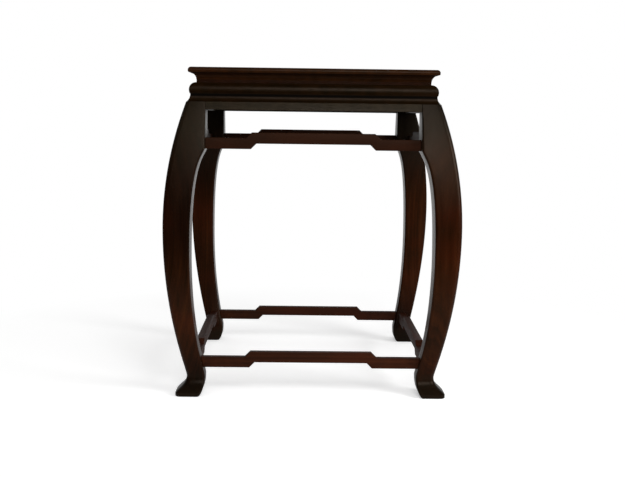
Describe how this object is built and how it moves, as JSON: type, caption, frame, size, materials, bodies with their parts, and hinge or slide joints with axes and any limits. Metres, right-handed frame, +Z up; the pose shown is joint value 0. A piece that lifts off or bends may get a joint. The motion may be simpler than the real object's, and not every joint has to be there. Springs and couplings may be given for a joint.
{
  "type": "side table",
  "caption": "Square waisted hardwood side table with a floating-panel top, moulded edge, bulging legs with turned-out feet and humpbacked stretchers.",
  "frame": {"origin": "on the floor, under the middle of the square table", "axes": "+Z up, the front towards -Y, +X to the right seen from the front"},
  "size_m": [0.5448, 0.5448, 0.61],
  "materials": {
    "frame_wood": "dark stained hardwood, satin lacquer",
    "panel_wood": "dark stained hardwood, satin lacquer, figured",
    "batten_wood": "planed hardwood, thin stain, unpolished underside",
    "waist_wood": "reddish stained hardwood, satin lacquer",
    "moulding_wood": "dark stained hardwood, satin lacquer",
    "apron_wood": "dark stained hardwood, satin lacquer",
    "leg_wood": "dark stained hardwood, satin lacquer, straight grain down the leg",
    "stretcher_wood": "dark stained hardwood, satin lacquer"
  },
  "bodies": {
    "root": {"top_frame_back": "frame_wood", "top_frame_left": "frame_wood", "top_frame_front": "frame_wood", "top_frame_right": "frame_wood", "top_panel": "panel_wood", "panel_batten_left": "batten_wood", "panel_batten_right": "batten_wood", "waist_board_back": "waist_wood", "waist_board_left": "waist_wood", "waist_board_front": "waist_wood", "waist_board_right": "waist_wood", "waist_moulding_back": "moulding_wood", "waist_moulding_left": "moulding_wood", "waist_moulding_front": "moulding_wood", "waist_moulding_right": "moulding_wood", "apron_back": "apron_wood", "apron_left": "apron_wood", "apron_front": "apron_wood", "apron_right": "apron_wood", "upper_stretcher_back": "stretcher_wood", "upper_stretcher_left": "stretcher_wood", "upper_stretcher_front": "stretcher_wood", "upper_stretcher_right": "stretcher_wood", "lower_stretcher_back": "stretcher_wood", "lower_stretcher_left": "stretcher_wood", "lower_stretcher_front": "stretcher_wood", "lower_stretcher_right": "stretcher_wood", "leg_back_right": "leg_wood", "leg_back_left": "leg_wood", "leg_front_left": "leg_wood", "leg_front_right": "leg_wood"}
  },
  "joints": []
}
